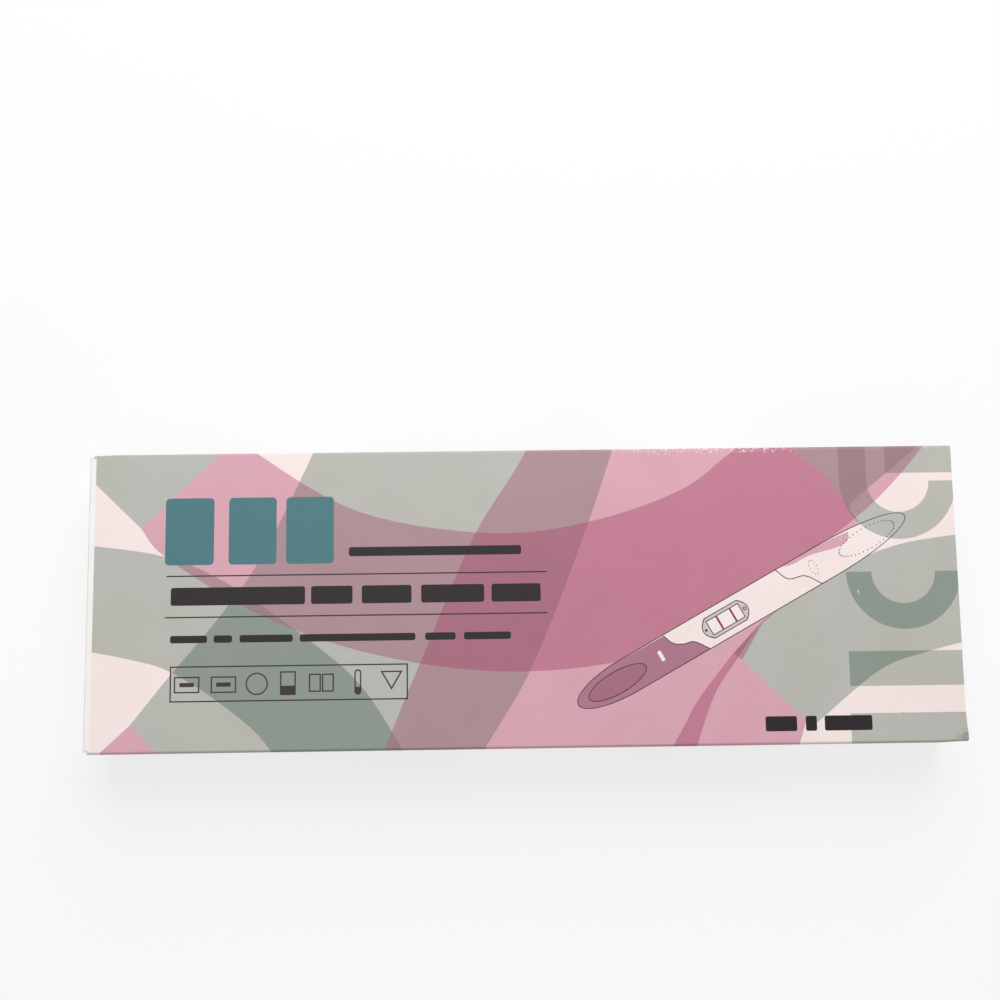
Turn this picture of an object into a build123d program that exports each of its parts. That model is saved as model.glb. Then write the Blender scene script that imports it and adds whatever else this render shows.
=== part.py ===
from build123d import *
from math import asin, degrees, radians, sin, sqrt, tan
import os

os.makedirs("parts", exist_ok=True)

# Carton, closed and lying on its back panel, +X to the right end, +Z up to the front panel
length = 190.0
width = 65.0
depth = 18.0

# Board and its folds
board = 0.4
fold_inner_radius = 0.25
seam_gap = 0.1

# Glue flap inside the near side panel
glue_flap_height = 12.0
glue_flap_setback = 1.5
glue_flap_taper = 15.0

# Tuck flaps: the closing panel, called the lid here, and the tongue that tucks in
crease_gap = 0.05
lid_side_clearance = 0.5
tongue_clearance = 0.2
tongue_length = 12.0
tongue_inset = 2.0
tongue_corner_radius = 6.0
slit_length = 5.0
slit_width = 0.25

# Dust flaps behind the lids
dust_flap_length = 16.0
dust_flap_gap = 0.1
dust_flap_clearance = 0.3
dust_flap_taper = 10.0
dust_flap_corner_radius = 2.5

# Folded leaflet on the back panel
leaflet_side_clearance = 4.5
leaflet_layers = 4
leaflet_pitch = 0.36
leaflet_fold_radius = 0.15
paper = 0.12

# Sealed pouch with the test stick inside it, lying on the leaflet
pouch_side_clearance = 3.5
pouch_film = 0.3
pouch_corner_radius = 1.5
end_seal = 9.0
seal_rib_count = 7
seal_rib_width = 0.5
seal_rib_height = 0.12
seal_rib_margin = 1.5
notch_depth = 1.6
notch_width = 1.8
stick_width = 21.0
stick_height = 8.6
tent_side_run = 9.0
tent_end_run = 7.0
tent_foot_radius = 5.0
tent_top_radius = 2.5

# Room left at the ends of what the carton holds
insert_gap = 1.5
leaflet_end_room = 16.0
pouch_end_room = 7.0

# Places that follow from the sizes above
half_length = length / 2
half_width = width / 2
fold_mid_radius = fold_inner_radius + board / 2
fold_outer_radius = fold_inner_radius + board
hinge_x = half_length - board
hinge_height = depth - board
tongue_reach = hinge_height - board - tongue_clearance
tongue_mid_radius = tongue_reach - board / 2
tongue_angle = degrees(tongue_length / tongue_mid_radius)
tongue_span = tongue_reach * sin(radians(tongue_angle))
lid_half_width = half_width - lid_side_clearance
tongue_half_width = lid_half_width - tongue_inset
dust_mid_x = hinge_x - dust_flap_gap - board / 2
side_panel_end = dust_mid_x - fold_mid_radius
insert_start = -hinge_x + tongue_span + insert_gap
insert_room = hinge_x - insert_start
ends = (-1, 1)
sides = (-1, 1)


def end_level(end, distance):
    # Height at a distance from the panel that the tongue meets, the back one at the left end
    return distance if end < 0 else depth - distance


# Sleeve: the board's middle line round the box, glue flap first, traced to its thickness
with BuildPart() as carton_sleeve:
    with BuildSketch(Plane.YZ):
        with BuildLine():
            FilletPolyline(
                (-half_width + 1.5 * board, glue_flap_height),
                (-half_width + 1.5 * board, board / 2),
                (half_width - board / 2, board / 2),
                (half_width - board / 2, depth - board / 2),
                (-half_width + board / 2, depth - board / 2),
                (-half_width + board / 2, seam_gap),
                radius=fold_mid_radius,
            )
        trace(line_width=board)
    extrude(amount=half_length, both=True)

    # The side panels stop at the dust flaps' folds, and the front and back panels run past them
    overrun = half_length - side_panel_end
    overrun_x = side_panel_end + overrun / 2
    with BuildSketch(Plane.XY.offset(fold_outer_radius)):
        with GridLocations(2 * overrun_x, 2 * (half_width - board), 2, 2):
            Rectangle(overrun, 3 * board)
    extrude(amount=depth - 2 * fold_outer_radius, mode=Mode.SUBTRACT)
    with BuildSketch(Plane.XY):
        for end in ends:
            with Locations((end * overrun_x, board / 2 - half_width)):
                Rectangle(overrun, board)
    extrude(amount=fold_outer_radius, mode=Mode.SUBTRACT)

    # The glue flap's tapered ends, starting just above its fold
    glue_flap_end = side_panel_end - glue_flap_setback
    glue_flap_root = fold_outer_radius + board
    glue_flap_lean = (glue_flap_height - glue_flap_root) * tan(radians(glue_flap_taper))
    with BuildSketch(Plane.XZ.offset(half_width - 2 * board)):
        for end in ends:
            with BuildLine():
                Polyline(
                    (end * glue_flap_end, glue_flap_root),
                    (end * (glue_flap_end - glue_flap_lean), glue_flap_height),
                    (end * half_length, glue_flap_height),
                    (end * half_length, glue_flap_root),
                    close=True,
                )
            make_face()
    extrude(amount=board, mode=Mode.SUBTRACT)

    # Dust flaps, folded in from both side panels at each end
    flap_tip = half_width - dust_flap_length
    with BuildSketch(Plane.XY.offset(fold_outer_radius)):
        for side in sides:
            with BuildLine():
                FilletPolyline(
                    (-dust_mid_x, side * flap_tip),
                    (-dust_mid_x, side * (half_width - board / 2)),
                    (dust_mid_x, side * (half_width - board / 2)),
                    (dust_mid_x, side * flap_tip),
                    radius=fold_mid_radius,
                )
            trace(line_width=board)
    extrude(amount=depth - 2 * fold_outer_radius)

    # A dust flap steps back from the tongue past its shoulder, and tapers on the hinge side
    relief = hinge_height - (tongue_reach - board - dust_flap_clearance)
    shoulder = tongue_half_width + dust_flap_clearance
    hinge_side = depth - 2 * board - dust_flap_clearance
    taper_drop = (dust_flap_length - board) * tan(radians(dust_flap_taper))
    for end in ends:
        with BuildSketch(Plane.YZ.offset(end * dust_mid_x)):
            for side in sides:
                with Locations((side * (half_width - dust_flap_length / 2), depth / 2)):
                    Rectangle(dust_flap_length + board, depth - 2 * fold_outer_radius)
                with BuildLine():
                    FilletPolyline(
                        (side * half_width, end_level(end, fold_outer_radius)),
                        (side * shoulder, end_level(end, fold_outer_radius)),
                        (side * shoulder, end_level(end, relief)),
                        (side * flap_tip, end_level(end, relief)),
                        (side * flap_tip, end_level(end, hinge_side - taper_drop)),
                        (side * half_width, end_level(end, hinge_side)),
                        radius=(0, 0, 0, dust_flap_corner_radius, dust_flap_corner_radius, 0),
                        close=True,
                    )
                make_face(mode=Mode.SUBTRACT)
        extrude(amount=board, both=True, mode=Mode.SUBTRACT)

    # The hinged panel's end stands just clear of the crease
    crease_end = hinge_x - board - crease_gap
    with BuildSketch(Plane.XZ):
        for end in ends:
            crease_x = end * (crease_end + half_length) / 2
            with Locations((crease_x, end_level(end, depth - fold_outer_radius / 2))):
                Rectangle(half_length - crease_end, fold_outer_radius)
    extrude(amount=half_width, both=True, mode=Mode.SUBTRACT)

carton_sleeve.part.label = "carton_sleeve"
export_step(carton_sleeve.part, "parts/carton_sleeve.step")


# Tuck flap about its hinge line: the tongue curves about that line, so it slides out freely
with BuildPart() as tuck_flap:
    fold_centre_x = fold_mid_radius - board / 2
    fold_centre_z = -sqrt((tongue_mid_radius - fold_mid_radius) ** 2 - fold_centre_x**2)
    fold_turn = degrees(asin(fold_centre_x / (tongue_mid_radius - fold_mid_radius)))
    with BuildSketch(Plane.XZ):
        with BuildLine():
            lid = Line((-board / 2, 0), (-board / 2, fold_centre_z))
            fold = JernArc(lid @ 1, (0, -1), fold_mid_radius, 90 + fold_turn)
            JernArc(fold @ 1, fold % 1, tongue_mid_radius, tongue_angle - fold_turn)
        trace(line_width=board)
        Circle(board)
    extrude(amount=lid_half_width, both=True)

    # The tongue's rounded outline, seen from above
    with BuildSketch(Plane.XY.offset(-tongue_reach - board)):
        with Locations((tongue_span / 2 + board, 0)):
            Rectangle(tongue_span + 2 * board, 2 * half_width)
        RectangleRounded(
            2 * tongue_span, 2 * tongue_half_width, tongue_corner_radius, mode=Mode.SUBTRACT
        )
    extrude(amount=tongue_reach - board, mode=Mode.SUBTRACT)

    # Beside the tongue the lid ends at its fold, and a slit at each end of the fold locks it
    with BuildSketch(Plane.YZ):
        for side in sides:
            with Locations((side * (tongue_half_width + tongue_inset), fold_centre_z - board)):
                Rectangle(2 * tongue_inset, 2 * board)
            with Locations((side * tongue_half_width, fold_centre_z + slit_width / 2)):
                Rectangle(2 * slit_length, slit_width)
    extrude(amount=2 * board, both=True, mode=Mode.SUBTRACT)

with BuildPart() as left_tuck_flap:
    with Locations(Location((-hinge_x, 0, hinge_height))):
        add(tuck_flap.part)
left_tuck_flap.part.label = "left_tuck_flap"
export_step(left_tuck_flap.part, "parts/left_tuck_flap.step")

# The right flap is the left one turned half round, hinged at the back panel
with BuildPart() as right_tuck_flap:
    with Locations(Location((hinge_x, 0, depth - hinge_height), (0, 180, 0))):
        add(tuck_flap.part)
right_tuck_flap.part.label = "right_tuck_flap"
export_step(right_tuck_flap.part, "parts/right_tuck_flap.step")


# Leaflet: one sheet folded to and fro, seen along its folds
leaflet_half_width = half_width - leaflet_side_clearance
leaflet_path = []
for layer in range(leaflet_layers):
    near = leaflet_half_width if layer % 2 else -leaflet_half_width
    layer_height = board + paper / 2 + layer * leaflet_pitch
    leaflet_path += [(near, layer_height), (-near, layer_height)]

with BuildPart() as instruction_leaflet:
    with BuildSketch(Plane.YZ.offset(insert_start)):
        with BuildLine():
            FilletPolyline(*leaflet_path, radius=leaflet_fold_radius)
        trace(line_width=paper)
    extrude(amount=insert_room - leaflet_end_room)
instruction_leaflet.part.label = "instruction_leaflet"
export_step(instruction_leaflet.part, "parts/instruction_leaflet.step")


# Pouch about the middle of its underside: the film lies flat and stands up over the stick
pouch_length = insert_room - pouch_end_room
pouch_half_width = half_width - pouch_side_clearance
stick_length = pouch_length - 2 * (end_seal + tent_end_run)
pouch_top = pouch_film + stick_height


def tent_outline(half_top, run, height):
    # Corners of the film's line over a stick that is twice half_top across
    foot = half_top + run
    return [(-foot, 0), (-half_top, height), (half_top, height), (foot, 0)]


tent_radii = (0, tent_top_radius, tent_top_radius, 0)

with BuildPart() as sealed_pouch:
    with BuildSketch(Plane.YZ):
        with BuildLine():
            FilletPolyline(
                *tent_outline(stick_width / 2, tent_side_run, pouch_top),
                radius=tent_radii,
                close=True,
            )
        make_face()
    extrude(amount=pouch_length / 2, both=True)
    with BuildSketch(Plane.XZ.offset(-pouch_half_width)):
        with BuildLine():
            FilletPolyline(
                *tent_outline(stick_length / 2, tent_end_run, pouch_top + tent_top_radius / 2),
                radius=tent_radii,
                close=True,
            )
        make_face()
    extrude(amount=2 * pouch_half_width, mode=Mode.INTERSECT)

    # The flat film round the stick, running up to it in a hollow curve
    with BuildSketch(Plane.XY):
        RectangleRounded(pouch_length, 2 * pouch_half_width, pouch_corner_radius)
    extrude(amount=pouch_film)
    film_face = sealed_pouch.faces().filter_by(Axis.Z).sort_by(Axis.Z)[1]
    fillet(film_face.inner_wires()[0].edges(), radius=tent_foot_radius)

    # Ribbed seals across both ends
    seal_x = (pouch_length - end_seal) / 2
    rib_pitch = (end_seal - 2 * seal_rib_margin) / (seal_rib_count - 1)
    with BuildSketch(Plane.XY.offset(pouch_film)):
        for end in ends:
            with Locations((end * seal_x, 0)):
                with GridLocations(rib_pitch, 1, seal_rib_count, 1):
                    Rectangle(seal_rib_width, 2 * (pouch_half_width - seal_rib_margin))
    extrude(amount=seal_rib_height)

    # Tear notches at both ends of the right seal
    with BuildSketch(Plane.XY):
        for side in sides:
            with BuildLine():
                Polyline(
                    (seal_x - notch_width / 2, side * pouch_half_width),
                    (seal_x, side * (pouch_half_width - notch_depth)),
                    (seal_x + notch_width / 2, side * pouch_half_width),
                    close=True,
                )
            make_face()
    extrude(amount=pouch_film + seal_rib_height, mode=Mode.SUBTRACT)

leaflet_top = board + paper + (leaflet_layers - 1) * leaflet_pitch
with BuildPart() as foil_pouch:
    with Locations(Location((insert_start + pouch_length / 2, 0, leaflet_top))):
        add(sealed_pouch.part)
foil_pouch.part.label = "foil_pouch"
export_step(foil_pouch.part, "parts/foil_pouch.step")
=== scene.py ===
import bpy
import numpy as np
from itertools import chain
from math import asin, cos, pi, radians, sin, sqrt, tan
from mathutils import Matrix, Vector
from mathutils.geometry import delaunay_2d_cdt


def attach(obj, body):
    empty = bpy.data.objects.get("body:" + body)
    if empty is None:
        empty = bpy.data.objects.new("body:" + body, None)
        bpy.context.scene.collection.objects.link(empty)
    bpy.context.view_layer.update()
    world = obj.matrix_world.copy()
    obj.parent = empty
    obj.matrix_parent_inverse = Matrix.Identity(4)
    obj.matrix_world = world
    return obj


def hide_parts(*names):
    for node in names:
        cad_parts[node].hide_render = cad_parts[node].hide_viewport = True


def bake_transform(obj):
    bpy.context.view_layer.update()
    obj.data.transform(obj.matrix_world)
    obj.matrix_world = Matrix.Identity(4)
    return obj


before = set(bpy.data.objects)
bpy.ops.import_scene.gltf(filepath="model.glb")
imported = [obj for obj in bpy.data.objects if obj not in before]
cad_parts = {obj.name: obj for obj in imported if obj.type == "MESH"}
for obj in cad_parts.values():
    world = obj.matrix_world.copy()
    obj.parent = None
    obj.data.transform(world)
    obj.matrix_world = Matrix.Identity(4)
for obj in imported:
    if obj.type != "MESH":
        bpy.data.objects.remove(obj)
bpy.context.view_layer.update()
mm = 0.001  # shapes are worked out in millimetres and scaled when they become meshes
print("frame loaded")

# Sizes of the folded board, in millimetres, as the solids have them
carton = {
    "length": 190.0, "width": 65.0, "depth": 18.0, "board": 0.4,
    "foldRadius": 0.45,  # of the board's middle line
    "rawEdgeHeight": 0.1,  # the near side panel's lower edge
    "glueHeight": 12.0, "glueInset": 0.6, "glueSetback": 1.5, "glueTaper": 15.0,
    "dustReach": 16.0, "dustShoulder": 30.3, "dustTaper": 10.0, "dustCorner": 2.5,
    "dustRelief": 1.3, "dustRoot": 1.1, "dustSetback": 1.15,
    "slit": 0.08,  # between a dust flap and the panel that runs past it
    "hingeGap": 0.05,  # between a panel's end and the bead of the flap that folds from it
    "bow": 0.22, "sideBow": 0.08, "backBow": -0.12, "wave": 0.03, "bowReach": 92.5,
    "foldSteps": 6, "gridStep": 4.4,
    "printEdge": 94.1,  # the print stops this far from the middle at the left end
    "bleed": 0.2,  # and runs this far on to the last bend
    "dustPrint": 16.9,  # the side panel's width that stays bare on a dust flap
    "mapWidth": 226.0,  # length of blank that fills the print's own map
}
# Bumped corners on the flat blank, each as its place, depth, reach and unevenness
bumps = [(-94, 32.3, 0.16, 1.3, 0.0), (95, -32.3, 0.34, 1.7, 0.35)]
# The near right corner is pushed outwards, most at v, over the last run of the panel
knock = {"out": 0.5, "v": -31.2, "reach": 2.7, "start": 91, "run": 4}


def toLinear(text):
    # sRGB hex to linear: c / 12.92 below 0.04045, ((c + 0.055) / 1.055) ^ 2.4 above it
    c = np.array([int(text[i:i + 2], 16) for i in (0, 2, 4)]) / 255
    c = np.where(c < 0.04045, c / 12.92, ((c + 0.055) / 1.055) ** 2.4)
    return (*c.tolist(), 1.0)


def addNode(tree, kind, inputs=None, links=None, tones=(), **settings):
    # Adds a shader node, sets its own settings, its inputs and a ramp's (position, colour) tones,
    # and links its inputs to other nodes' sockets
    node = tree.nodes.new("ShaderNode" + kind)
    for key, value in settings.items():
        setattr(node, key, value)
    for key, value in (inputs or {}).items():
        node.inputs[key].default_value = value
    for i, (position, text) in enumerate(tones):
        node.color_ramp.elements[i].position = position
        node.color_ramp.elements[i].color = toLinear(text)
    for key, socket in (links or {}).items():
        tree.links.new(socket, node.inputs[key])
    return node


def newMaterial(name):
    # A material with its output and a principled shader, and the object's coordinates in mm
    material = bpy.data.materials.new(name)
    material.use_nodes = True
    tree = material.node_tree
    tree.nodes.clear()
    shader = addNode(tree, "BsdfPrincipled")
    addNode(tree, "OutputMaterial", None, {"Surface": shader.outputs[0]})
    place = addNode(tree, "TexCoord").outputs["Object"]
    inMm = addNode(tree, "VectorMath", {1: (1000, 1000, 1000)}, {0: place}, operation="MULTIPLY")
    return material, tree, shader, inMm.outputs[0]


def alongPath(s, start, heading, runs):
    # Place and left-hand normal at length s of a path of (length, turn in degrees) runs. On a
    # run the heading is a = a0 + k d, and the place is the integral of (cos a, sin a)
    s = np.asarray(s, float)
    place = np.zeros((len(s), 2))
    normal = np.zeros((len(s), 2))
    x, y = start
    a0 = radians(heading)
    begin = 0.0
    for i, (span, turn) in enumerate(runs):
        k = radians(turn) / span
        last = i == len(runs) - 1
        inside = ((s >= begin) | (i == 0)) & ((s < begin + span) | last)
        d = s[inside] - begin
        a = a0 + k * d
        if turn:
            place[inside] = np.stack([x + (np.sin(a) - sin(a0)) / k, y - (np.cos(a) - cos(a0)) / k], 1)
            x += (sin(a0 + k * span) - sin(a0)) / k
            y -= (cos(a0 + k * span) - cos(a0)) / k
        else:
            place[inside] = np.stack([x + d * cos(a0), y + d * sin(a0)], 1)
            x += span * cos(a0)
            y += span * sin(a0)
        normal[inside] = np.stack([-np.sin(a), np.cos(a)], 1)
        a0 += k * span
        begin += span
    return place, normal


def rounded(corners, steps=6):
    # Closed outline through (x, y, radius) corners, each corner cut by an arc of its radius
    points = []
    for i, (x, y, r) in enumerate(corners):
        if not r:
            points.append((x, y))
            continue
        here = Vector((x, y))
        back = (Vector(corners[i - 1][:2]) - here).normalized()
        on = (Vector(corners[(i + 1) % len(corners)][:2]) - here).normalized()
        half = back.angle(on) / 2
        middle = here + (back + on).normalized() * (r / sin(half))
        first = here + back * (r / tan(half)) - middle
        last = here + on * (r / tan(half)) - middle
        for t in np.linspace(0, 1, steps + 1):
            p = middle + first.slerp(last, float(t), first).normalized() * r
            points.append((p.x, p.y))
    return np.array(points)


def box(x0, y0, x1, y1, r=0.0):
    # Rectangle with corners of radius r
    return rounded([(x0, y0, r), (x1, y0, r), (x1, y1, r), (x0, y1, r)], 4)


def oval(x, y, rx, ry, steps=40, start=0.0, end=360.0):
    # Ellipse, or a part of it, about (x, y)
    whole = end - start >= 360
    a = np.radians(np.linspace(start, end, steps if whole else steps + 1, endpoint=not whole))
    return np.stack([x + rx * np.cos(a), y + ry * np.sin(a)], 1)


def curve(points, steps=7):
    # Smooth line through the points: Catmull-Rom, with the end points mirrored outwards
    p = np.array(points, float)
    p = np.vstack([2 * p[0] - p[1], p, 2 * p[-1] - p[-2]])
    t = np.linspace(0, 1, steps, endpoint=False)[:, None, None]
    a, b, c, d = p[:-3], p[1:-2], p[2:-1], p[3:]
    squared = (2 * a - 5 * b + 4 * c - d) * t ** 2
    cubed = (3 * b - a - 3 * c + d) * t ** 3
    line = 0.5 * (2 * b + (c - a) * t + squared + cubed)
    return np.vstack([line.transpose(1, 0, 2).reshape(-1, 2), p[-2]])


def stroke(line, width):
    # Outline of a pen line: each point moved half the width to either side of its direction
    line = np.array(line, float)
    d = np.gradient(line, axis=0)
    d /= np.linalg.norm(d, axis=1)[:, None]
    side = np.stack([-d[:, 1], d[:, 0]], 1) * width / 2
    return np.vstack([line - side, (line + side)[::-1]])


def anticlockwise(outline):
    x, y = outline.T
    return outline if np.sum(x * np.roll(y, -1) - y * np.roll(x, -1)) > 0 else outline[::-1]


def triangulate(outline, shapes, lines, points):
    # Constrained Delaunay triangles of the flat outline, cut along every shape and line. Gives
    # the flat points, the triangles, and which shapes cover each triangle
    rings = [anticlockwise(np.asarray(r, float)) for r in (outline, *shapes)]
    counts = [len(r) for r in rings] + [len(r) for r in lines]
    firsts = np.concatenate([[0], np.cumsum(counts)])
    faces = [list(range(firsts[i], firsts[i + 1])) for i in range(len(rings))]
    edges = [(j, j + 1) for i in range(len(rings), len(counts)) for j in range(firsts[i], firsts[i + 1] - 1)]
    flat = np.vstack([*rings, *lines, points])
    made = delaunay_2d_cdt([Vector(p) for p in flat.tolist()], edges, faces, 0, 1e-4, True)
    flat = np.array([v[:] for v in made[0]])
    triangles = np.array(made[2])
    counts = np.fromiter(map(len, made[5]), int)
    cover = np.zeros((len(triangles), len(rings)), bool)
    cover[np.repeat(np.arange(len(triangles)), counts), np.fromiter(chain.from_iterable(made[5]), int)] = True
    keep = cover[:, 0]
    triangles, cover = triangles[keep], cover[keep]
    used, triangles = np.unique(triangles, return_inverse=True)
    flat, triangles = flat[used], triangles.reshape(-1, 3)
    a, b, c = (flat[triangles[:, i]] for i in range(3))
    turned = (b[:, 0] - a[:, 0]) * (c[:, 1] - a[:, 1]) < (b[:, 1] - a[:, 1]) * (c[:, 0] - a[:, 0])
    triangles[turned] = triangles[turned][:, ::-1]
    return flat, triangles, cover[:, 1:]


def rimEdges(triangles):
    # Directed edges that only one triangle has
    edges = np.vstack([triangles[:, [0, 1]], triangles[:, [1, 2]], triangles[:, [2, 0]]])
    size = triangles.max() + 1
    return edges[~np.isin(edges[:, 0] * size + edges[:, 1], edges[:, 1] * size + edges[:, 0])]


def surfaceNormals(place, flat, offset):
    # Normal of a folded surface: the cross product of its slopes along both flat directions
    step = 0.01
    along, across = (place(flat + d, offset) - place(flat - d, offset) for d in ((step, 0), (0, step)))
    n = np.cross(along, across)
    return n / np.maximum(np.linalg.norm(n, axis=1), 1e-12)[:, None]


def buildMesh(name, verts, groups, materials, normals):
    # Mesh of faces in groups of (corner array, material number), with a normal for each corner
    mesh = bpy.data.meshes.new(name)
    corners = np.concatenate([g.ravel() for g, _ in groups])
    totals = np.concatenate([np.full(len(g), g.shape[1]) for g, _ in groups])
    numbers = np.concatenate([np.full(len(g), m) for g, m in groups])
    mesh.vertices.add(len(verts))
    mesh.vertices.foreach_set("co", (np.asarray(verts) * mm).astype(np.float32).ravel())
    mesh.loops.add(len(corners))
    mesh.loops.foreach_set("vertex_index", corners.astype(np.int32))
    mesh.polygons.add(len(totals))
    mesh.polygons.foreach_set("loop_start", (np.cumsum(totals) - totals).astype(np.int32))
    mesh.polygons.foreach_set("material_index", numbers.astype(np.int32))
    for material in materials:
        mesh.materials.append(material)
    mesh.update(calc_edges=True)
    mesh.shade_smooth()
    mesh.normals_split_custom_set(normals.tolist())
    piece = bpy.data.objects.new(name, mesh)
    bpy.context.scene.collection.objects.link(piece)
    return piece


def flatNormals(verts, faces):
    # One normal a face, from its diagonals or its first two edges, given to all its corners
    p = verts[faces]
    n = np.cross(p[:, 2] - p[:, 0], p[:, -1] - p[:, 1])
    n /= np.maximum(np.linalg.norm(n, axis=1), 1e-12)[:, None]
    return np.repeat(n, faces.shape[1], axis=0)


def makeSheet(name, flat, triangles, place, thickness, materials):
    # Closed sheet: the flat triangles placed half the thickness out, the same turned over and
    # placed half the thickness in, and a quad across each rim edge
    lift = thickness / 2
    count = len(flat)
    verts = np.vstack([place(flat, lift), place(flat, -lift)])
    rim = rimEdges(triangles)
    quads = np.stack([rim[:, 1], rim[:, 0], rim[:, 0] + count, rim[:, 1] + count], 1)
    groups = [(triangles, 0), (triangles[:, ::-1] + count, 1), (quads, 2)]
    normals = np.vstack([
        surfaceNormals(place, flat, lift)[triangles.ravel()],
        -surfaceNormals(place, flat, -lift)[triangles[:, ::-1].ravel()],
        flatNormals(verts, quads),
    ])
    return buildMesh(name, verts, groups, materials, normals)


def rodNormals(points, faces):
    # Normals away from a rod's middle line, which lies along y through its points' mean
    n = points[faces.ravel()] - points.mean(0)
    n[:, 1] = 0
    return n / np.linalg.norm(n, axis=1)[:, None]


def rod(x, z, halfSpan, radius, steps=20):
    # Closed rod along y: a ring of points at each end, quads between them and a fan on each end
    a = np.linspace(0, 2 * pi, steps, endpoint=False)
    ring = np.stack([x + radius * np.cos(a), np.zeros(steps), z + radius * np.sin(a)], 1)
    middles = [(x, -halfSpan, z), (x, halfSpan, z)]
    points = np.vstack([ring - (0, halfSpan, 0), ring + (0, halfSpan, 0), middles])
    i = np.arange(steps)
    j = (i + 1) % steps
    sides = np.stack([i, i + steps, j + steps, j], 1)
    first = np.stack([i, j, np.full(steps, 2 * steps)], 1)
    last = np.stack([j + steps, i + steps, np.full(steps, 2 * steps + 1)], 1)
    return points, sides, np.vstack([first, last])


# The carton's flat blank. Its first coordinate runs along the box. Its second, v, runs round
# the girth: 0 at the middle of the front panel, the far side panel, the back panel and the glue
# flap at positive v, and the near side panel at negative v
half = carton["length"] / 2
midLine = carton["width"] / 2 - carton["board"] / 2
r = carton["foldRadius"]
bend = r * pi / 2
frontHalf = midLine - r
sideRise = carton["depth"] - carton["board"] - 2 * r
nearRise = carton["depth"] - carton["board"] / 2 - r - carton["rawEdgeHeight"]
backSpan = 2 * midLine - 2 * r - (carton["glueInset"] - carton["board"] / 2)
glueRise = carton["glueHeight"] - r - carton["board"] / 2
girthRuns = [
    (nearRise, 0), (bend, -90), (2 * frontHalf, 0), (bend, -90), (sideRise, 0),
    (bend, -90), (backSpan, 0), (bend, -90), (glueRise, 0),
]
girth = np.cumsum([0] + [span for span, _ in girthRuns]) - nearRise - bend - frontHalf
sideEnd = half - carton["dustSetback"]
creaseEnd = half - 2 * carton["board"] - carton["hingeGap"]
lowBend = r + carton["board"] / 2


def nearV(z):
    # Blank coordinate of a height on the near side panel
    return girth[0] + z - carton["rawEdgeHeight"]


def farV(z):
    # Blank coordinate of a height on the far side panel
    return girth[5] + lowBend - z


def bowed(u, v):
    # How far the board stands out of its flat panel: a low crown on each panel, outwards on the
    # front and sides and inwards under the box, with slow waves, and two bumped corners
    crown = np.zeros(len(u))
    along = np.clip(1 - (u / carton["bowReach"]) ** 2, 0, 1)
    panels = {2: carton["bow"], 4: carton["sideBow"], 0: carton["sideBow"], 6: carton["backBow"]}
    for panel, height in panels.items():
        begin, end = girth[panel], girth[panel + 1]
        t = (v - begin) / (end - begin)
        across = np.where((t > 0) & (t < 1), 4 * t * (1 - t), 0)
        crown += height * across * along
        crown += carton["wave"] * across * along * np.sin(u / 9 + v / 7) * np.cos(v / 11 - u / 23)
    for u0, v0, depth, reach, uneven in bumps:
        away = np.hypot(u - u0, (v - v0) * 1.2)
        crown -= depth * np.exp(-(away / reach) ** 2) * (1 + uneven * np.sin(3.1 * u + 2.3 * v))
    return crown


def foldCarton(flat, offset):
    # The girth path places v, and past the side panels' ends a second path turns the dust flaps in
    u, v = flat.T
    place, normal = alongPath(v - girth[0], (-midLine, carton["rawEdgeHeight"]), 90, girthRuns)
    side = ((v < girth[1]) | ((v > girth[4]) & (v < girth[5]))) & (abs(u) > sideEnd)
    dustRuns = [(bend, -90), (midLine, 0)]
    turned, turnedNormal = alongPath(abs(u) - sideEnd, (sideEnd, midLine), 0, dustRuns)
    pushed = knock["out"] * np.exp(-((v - knock["v"]) / knock["reach"]) ** 2)
    pushed *= np.clip((u - knock["start"]) / knock["run"], 0, 1)
    p = np.stack([u + pushed, place[:, 0], place[:, 1]], 1)
    n = np.stack([np.zeros(len(u)), normal[:, 0], normal[:, 1]], 1)
    way = np.stack([np.sign(u), np.sign(place[:, 0])], 1)
    p[side, :2] = (turned * way)[side]
    n[side, :2] = (turnedNormal * way)[side]
    return p + n * (offset + bowed(u, v))[:, None]


def dustFlap(end, heightV):
    # Corners of a dust flap from the side that meets the tongue to the hinge side
    middle = sideEnd + bend + frontHalf
    tip = middle - (carton["width"] / 2 - carton["dustReach"])
    shoulder = middle - carton["dustShoulder"]
    gap = lowBend + carton["slit"]
    relief, corner = carton["dustRelief"], carton["dustCorner"]
    root = carton["depth"] - carton["dustRoot"]
    drop = (carton["dustReach"] - carton["board"]) * tan(radians(carton["dustTaper"]))

    def up(distance):
        # Blank coordinate of a distance from the panel that the tongue slides behind
        return heightV(distance if end < 0 else carton["depth"] - distance)

    return [
        (end * sideEnd, up(gap), 0), (end * shoulder, up(gap), 0), (end * shoulder, up(relief), 0),
        (end * tip, up(relief), corner), (end * tip, up(root - drop), corner), (end * sideEnd, up(root), 0),
    ]


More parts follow.
